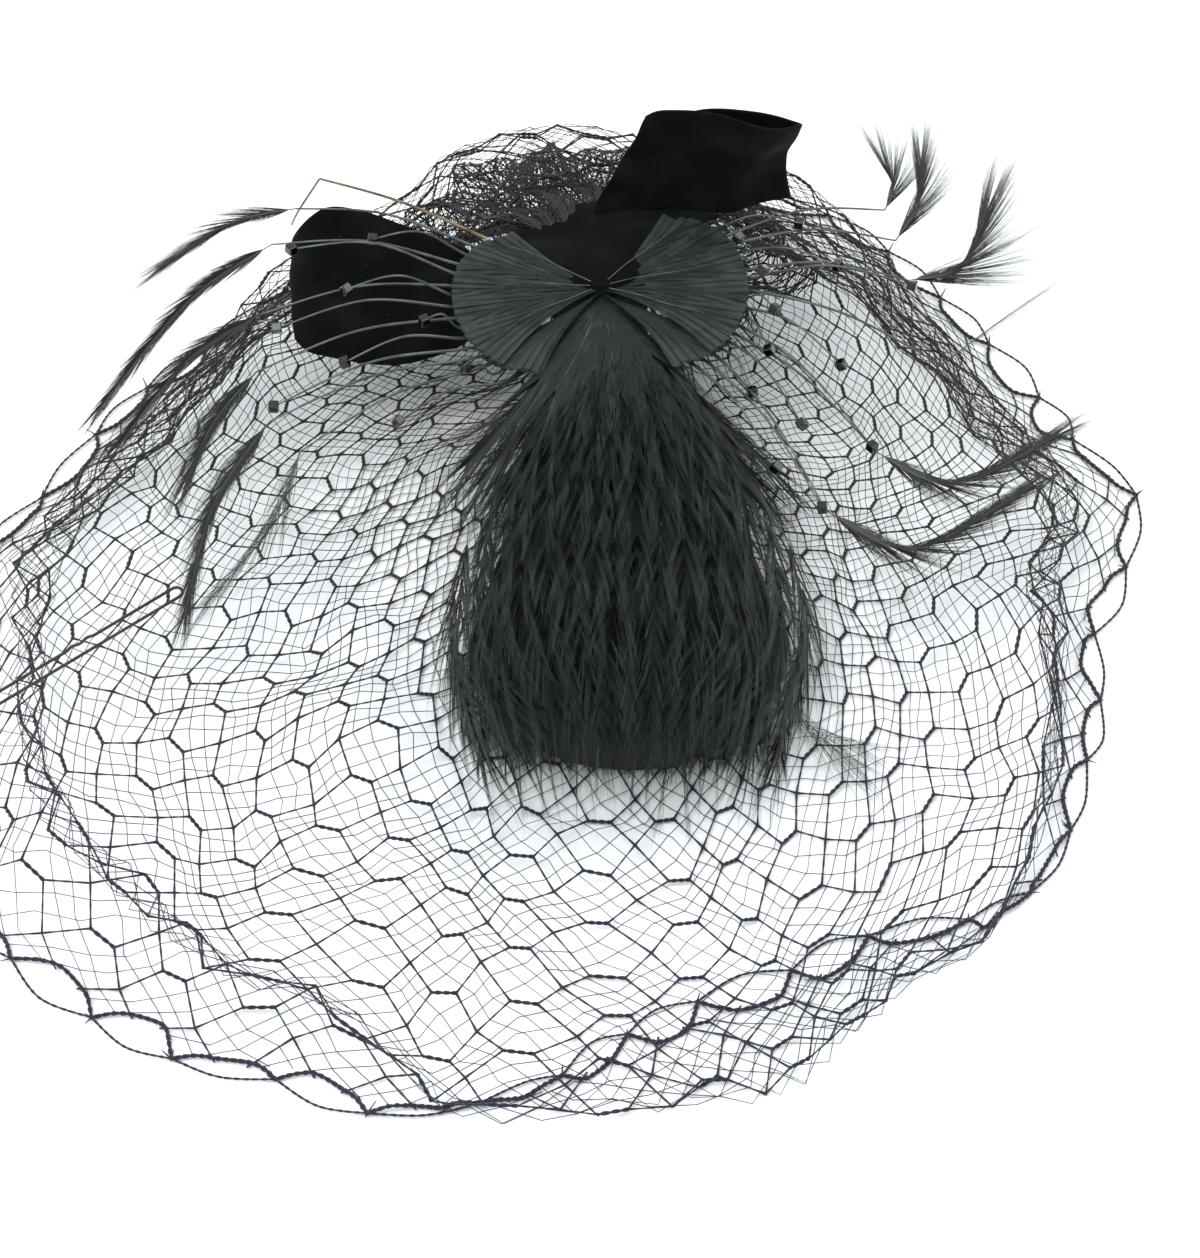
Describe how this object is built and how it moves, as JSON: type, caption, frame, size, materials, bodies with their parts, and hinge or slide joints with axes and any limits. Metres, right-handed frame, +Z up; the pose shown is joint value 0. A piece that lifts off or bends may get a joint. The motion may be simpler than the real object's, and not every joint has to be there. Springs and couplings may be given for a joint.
{
  "type": "fascinator headpiece",
  "caption": "Cocktail headpiece: a feather pad on a small base with a velvet bow, feather fans, beaded quills, plumes, a birdcage veil and a hairpin.",
  "frame": {"origin": "on the surface it lies on, under the middle of the spread veil", "axes": "+Z up, +Y from the front of the feather pad towards the bow, +X to the right seen from the front"},
  "size_m": [0.3466, 0.3466, 0.0936],
  "materials": {
    "lining": "woven acetate satin",
    "buckram": "stiffened open-weave buckram, dyed black",
    "wadding": "cotton wadding",
    "cased_wire": "millinery wire with a wound cotton cover",
    "pad_feather": "glossy body feather, dyed green-black",
    "fan_feather": "trimmed feather, grey-green sheen",
    "plume": "long hackle with translucent barbs",
    "quill": "stripped feather quill, keratin, dyed charcoal",
    "quill_broken": "stripped feather quill, faded to tan",
    "bead_glass": "black pressed glass, fire-polished",
    "velvet": "silk velvet ribbon",
    "net": "knotted silk and nylon birdcage netting",
    "thread": "black cotton thread",
    "pin_wire": "japanned steel wire, bronze-black"
  },
  "bodies": {
    "headpiece": {"base_edge_wire": "cased_wire", "base_lining": "lining", "bow_stitches": "thread", "bow_tab": "buckram", "fan_binding": "thread", "feather_row_1": "pad_feather", "feather_row_2": "pad_feather", "feather_row_3": "pad_feather", "feather_row_4": "pad_feather", "feather_row_5": "pad_feather", "feather_row_6": "pad_feather", "foundation_base": "buckram", "left_beads": "bead_glass", "left_fan": "fan_feather", "left_kinked_quill": "quill_broken", "left_plume_1": "plume", "left_plume_2": "plume", "left_plume_3": "plume", "left_plume_4": "plume", "left_plume_5": "plume", "left_plume_6": "plume", "left_quill_binding": "thread", "left_quills": "quill", "neck_feathers": "pad_feather", "pad_wadding": "wadding", "ribbon_centre_swag": "velvet", "ribbon_left_loop": "velvet", "ribbon_right_loop": "velvet", "right_beads": "bead_glass", "right_fan": "fan_feather", "right_plume_1": "plume", "right_plume_2": "plume", "right_plume_3": "plume", "right_plume_4": "plume", "right_plume_5": "plume", "right_plume_6": "plume", "right_quill_binding": "thread", "right_quills": "quill", "stray_feather": "plume", "veil_gathers": "net", "veil_net": "net", "veil_selvage": "net", "veil_tacks": "thread"},
    "hairpin": {"hairpin": "pin_wire"}
  },
  "joints": [
    {"name": "hairpin_slide", "type": "slide", "parent": "headpiece", "child": "hairpin", "axis": [-0.7967, -0.6003, -0.0698], "range_m": [0, 0.07]}
  ]
}
